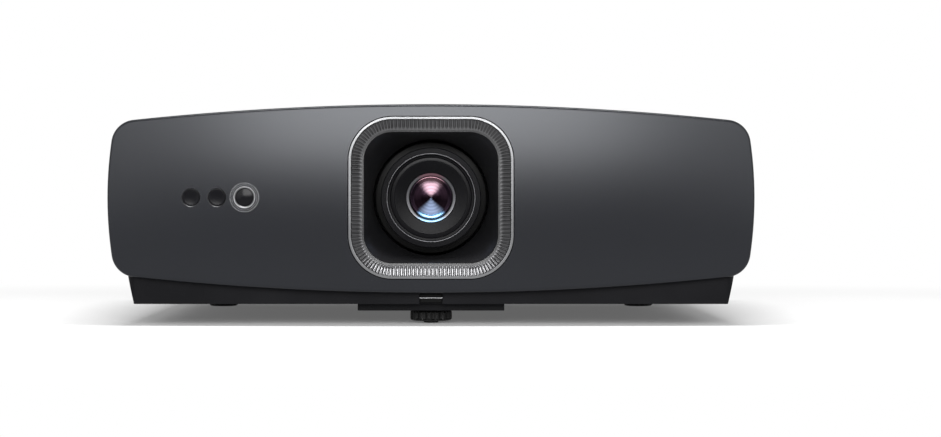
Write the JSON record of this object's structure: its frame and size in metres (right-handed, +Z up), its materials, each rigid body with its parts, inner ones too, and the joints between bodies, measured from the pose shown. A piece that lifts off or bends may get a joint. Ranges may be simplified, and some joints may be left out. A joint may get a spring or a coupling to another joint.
{
  "type": "home projector",
  "caption": "Wide bowed projector with a ribbed rounded-square lens recess, shifting zoom lens, sliding lens door, side fans, top keys, rear sockets and screw feet",
  "frame": {"origin": "on the table under the middle of the case", "axes": "+Z up, the lens looks along -Y, +X to the right seen from the front"},
  "size_m": [0.42, 0.312, 0.144],
  "materials": {
    "case_black": "fine moulded texture",
    "shell_grey": "satin metallic grey coat",
    "cover_black": "fine moulded texture",
    "grille_black": "matt louvres",
    "panel_black": "fine moulded texture",
    "hood_black": "matt with fine ribs",
    "bright_trim": "satin bright edge",
    "cast_metal": "as cast",
    "lens_black": "satin black",
    "ring_rubber": "fluted grip",
    "coated_glass": "anti-reflection coating",
    "silver_ring": "turned",
    "prism_glass": "polished",
    "circuit_board": "solder mask with parts",
    "copper": "nickel-free copper",
    "fin_aluminium": "stamped fins",
    "fan_plastic": "moulded",
    "power_board": "bare laminate with parts",
    "dark_window": "polished, infrared clear",
    "speaker_paper": "coated cone in a black basket",
    "socket_steel": "plated",
    "light_pipe": "clear light pipe",
    "key_plastic": "satin",
    "post_plastic": "moulded",
    "foot_rubber": "knurled",
    "button_plastic": "satin",
    "screw_steel": "zinc plated"
  },
  "bodies": {
    "case": {"base_chassis": "case_black", "front_fascia": "shell_grey", "top_cover": "cover_black", "left_grille": "grille_black", "right_grille": "grille_black", "rear_panel": "panel_black", "lens_hood": "hood_black", "hood_trim": "bright_trim", "foot_plate": "case_black", "shift_frame": "cast_metal", "light_engine": "cast_metal", "prism": "prism_glass", "image_chip": "circuit_board", "light_modules": "copper", "heat_pipes": "copper", "heat_sinks": "fin_aluminium", "exhaust_fan_frames": "fan_plastic", "intake_fan_frame": "fan_plastic", "main_board": "circuit_board", "power_board": "power_board", "keypad_board": "circuit_board", "camera_module": "lens_black", "camera_ring": "silver_ring", "sensor_windows": "dark_window", "left_speaker": "speaker_paper", "right_speaker": "speaker_paper", "hdmi_sockets": "socket_steel", "usb_sockets": "socket_steel", "audio_jacks": "fan_plastic", "mains_inlet": "case_black", "status_lights": "light_pipe", "screws": "screw_steel"},
    "carriage": {"lens_carriage": "lens_black", "lens_barrel": "lens_black"},
    "focus_ring": {"focus_ring": "ring_rubber"},
    "focus_cell": {"focus_cell": "lens_black", "front_glass": "coated_glass", "retaining_ring": "silver_ring"},
    "zoom_ring": {"zoom_ring": "ring_rubber"},
    "zoom_cell": {"zoom_cell": "lens_black"},
    "shift_dial": {"shift_dial": "lens_black"},
    "lens_door": {"lens_door": "cover_black"},
    "exhaust_rotor_front": {"exhaust_rotor_front": "fan_plastic"},
    "exhaust_rotor_rear": {"exhaust_rotor_rear": "fan_plastic"},
    "intake_rotor": {"intake_rotor": "fan_plastic"},
    "front_post": {"front_post": "post_plastic"},
    "front_stop": {"front_stop": "silver_ring"},
    "front_foot": {"front_foot": "foot_rubber"},
    "release_button": {"release_button": "button_plastic"},
    "rear_stop_left": {"rear_stop_left": "silver_ring"},
    "rear_stop_right": {"rear_stop_right": "silver_ring"},
    "rear_foot_left": {"rear_foot_left": "foot_rubber"},
    "rear_foot_right": {"rear_foot_right": "foot_rubber"},
    "key_power": {"key_power": "key_plastic"},
    "key_menu": {"key_menu": "key_plastic"},
    "key_ok": {"key_ok": "key_plastic"},
    "key_up": {"key_up": "key_plastic"},
    "key_down": {"key_down": "key_plastic"},
    "key_left": {"key_left": "key_plastic"},
    "key_right": {"key_right": "key_plastic"}
  },
  "joints": [
    {"name": "lens_shift", "type": "slide", "parent": "case", "child": "carriage", "axis": [0, 0, 1], "range_m": [-0.004, 0.004]},
    {"name": "shift_dial_turn", "type": "hinge", "parent": "case", "child": "shift_dial", "pos_m": [0.036, -0.0648, 0.0834], "axis": [0, 0, 1], "range_deg": [-180, 180]},
    {"name": "focus_turn", "type": "hinge", "parent": "carriage", "child": "focus_ring", "pos_m": [0, -0.101, 0.0834], "axis": [0, 1, 0], "range_deg": [-40, 40]},
    {"name": "focus_travel", "type": "slide", "parent": "carriage", "child": "focus_cell", "axis": [0, 1, 0], "range_m": [-0.0015, 0.0015]},
    {"name": "zoom_turn", "type": "hinge", "parent": "carriage", "child": "zoom_ring", "pos_m": [0, -0.081, 0.0834], "axis": [0, 1, 0], "range_deg": [-15, 15]},
    {"name": "zoom_travel", "type": "slide", "parent": "carriage", "child": "zoom_cell", "axis": [0, 1, 0], "range_m": [-0.006, 0.006]},
    {"name": "lens_door_slide", "type": "slide", "parent": "case", "child": "lens_door", "axis": [0, 1, 0], "range_m": [0, 0.045]},
    {"name": "exhaust_front_spin", "type": "hinge", "parent": "case", "child": "exhaust_rotor_front", "pos_m": [-0.164, -0.037, 0.0764], "axis": [1, 0, 0], "continuous": true},
    {"name": "exhaust_rear_spin", "type": "hinge", "parent": "case", "child": "exhaust_rotor_rear", "pos_m": [-0.164, 0.037, 0.0764], "axis": [1, 0, 0], "continuous": true},
    {"name": "intake_spin", "type": "hinge", "parent": "case", "child": "intake_rotor", "pos_m": [0.164, -0.02, 0.0764], "axis": [1, 0, 0], "continuous": true},
    {"name": "front_foot_drop", "type": "slide", "parent": "case", "child": "front_post", "axis": [0, 0, -1], "range_m": [0, 0.0136]},
    {"name": "front_screw_travel", "type": "slide", "parent": "front_post", "child": "front_stop", "axis": [0, 0, -1], "range_m": [0, 0.006]},
    {"name": "front_foot_turn", "type": "hinge", "parent": "front_stop", "child": "front_foot", "pos_m": [0, -0.104, 0.01], "axis": [0, 0, 1], "range_deg": [0, 1440]},
    {"name": "release_press", "type": "slide", "parent": "case", "child": "release_button", "axis": [0, 1, 0], "range_m": [0, 0.0025], "stiffness_N_per_m": 1500, "springref_m": -0.001},
    {"name": "rear_screw_travel_left", "type": "slide", "parent": "case", "child": "rear_stop_left", "axis": [0, 0, -1], "range_m": [0, 0.006]},
    {"name": "rear_foot_turn_left", "type": "hinge", "parent": "rear_stop_left", "child": "rear_foot_left", "pos_m": [-0.16, 0.12, 0.01], "axis": [0, 0, 1], "range_deg": [0, 1440]},
    {"name": "rear_screw_travel_right", "type": "slide", "parent": "case", "child": "rear_stop_right", "axis": [0, 0, -1], "range_m": [0, 0.006]},
    {"name": "rear_foot_turn_right", "type": "hinge", "parent": "rear_stop_right", "child": "rear_foot_right", "pos_m": [0.16, 0.12, 0.01], "axis": [0, 0, 1], "range_deg": [0, 1440]},
    {"name": "key_power_press", "type": "slide", "parent": "case", "child": "key_power", "axis": [0, 0, -1], "range_m": [0, 0.0006], "stiffness_N_per_m": 2000, "springref_m": -0.0005},
    {"name": "key_menu_press", "type": "slide", "parent": "case", "child": "key_menu", "axis": [0, 0, -1], "range_m": [0, 0.0006], "stiffness_N_per_m": 2000, "springref_m": -0.0005},
    {"name": "key_ok_press", "type": "slide", "parent": "case", "child": "key_ok", "axis": [0, 0, -1], "range_m": [0, 0.0006], "stiffness_N_per_m": 2000, "springref_m": -0.0005},
    {"name": "key_up_press", "type": "slide", "parent": "case", "child": "key_up", "axis": [0, 0, -1], "range_m": [0, 0.0006], "stiffness_N_per_m": 2000, "springref_m": -0.0005},
    {"name": "key_down_press", "type": "slide", "parent": "case", "child": "key_down", "axis": [0, 0, -1], "range_m": [0, 0.0006], "stiffness_N_per_m": 2000, "springref_m": -0.0005},
    {"name": "key_left_press", "type": "slide", "parent": "case", "child": "key_left", "axis": [0, 0, -1], "range_m": [0, 0.0006], "stiffness_N_per_m": 2000, "springref_m": -0.0005},
    {"name": "key_right_press", "type": "slide", "parent": "case", "child": "key_right", "axis": [0, 0, -1], "range_m": [0, 0.0006], "stiffness_N_per_m": 2000, "springref_m": -0.0005}
  ],
  "couplings": [
    {"joint": "shift_dial_turn", "follows": "lens_shift", "rad_per_m": 785.39},
    {"joint": "focus_travel", "follows": "focus_turn", "m_per_rad": 0.0021485},
    {"joint": "zoom_travel", "follows": "zoom_turn", "m_per_rad": 0.022918},
    {"joint": "front_screw_travel", "follows": "front_foot_turn", "m_per_rad": 0.00023873},
    {"joint": "rear_screw_travel_left", "follows": "rear_foot_turn_left", "m_per_rad": 0.00023873},
    {"joint": "rear_screw_travel_right", "follows": "rear_foot_turn_right", "m_per_rad": 0.00023873}
  ]
}
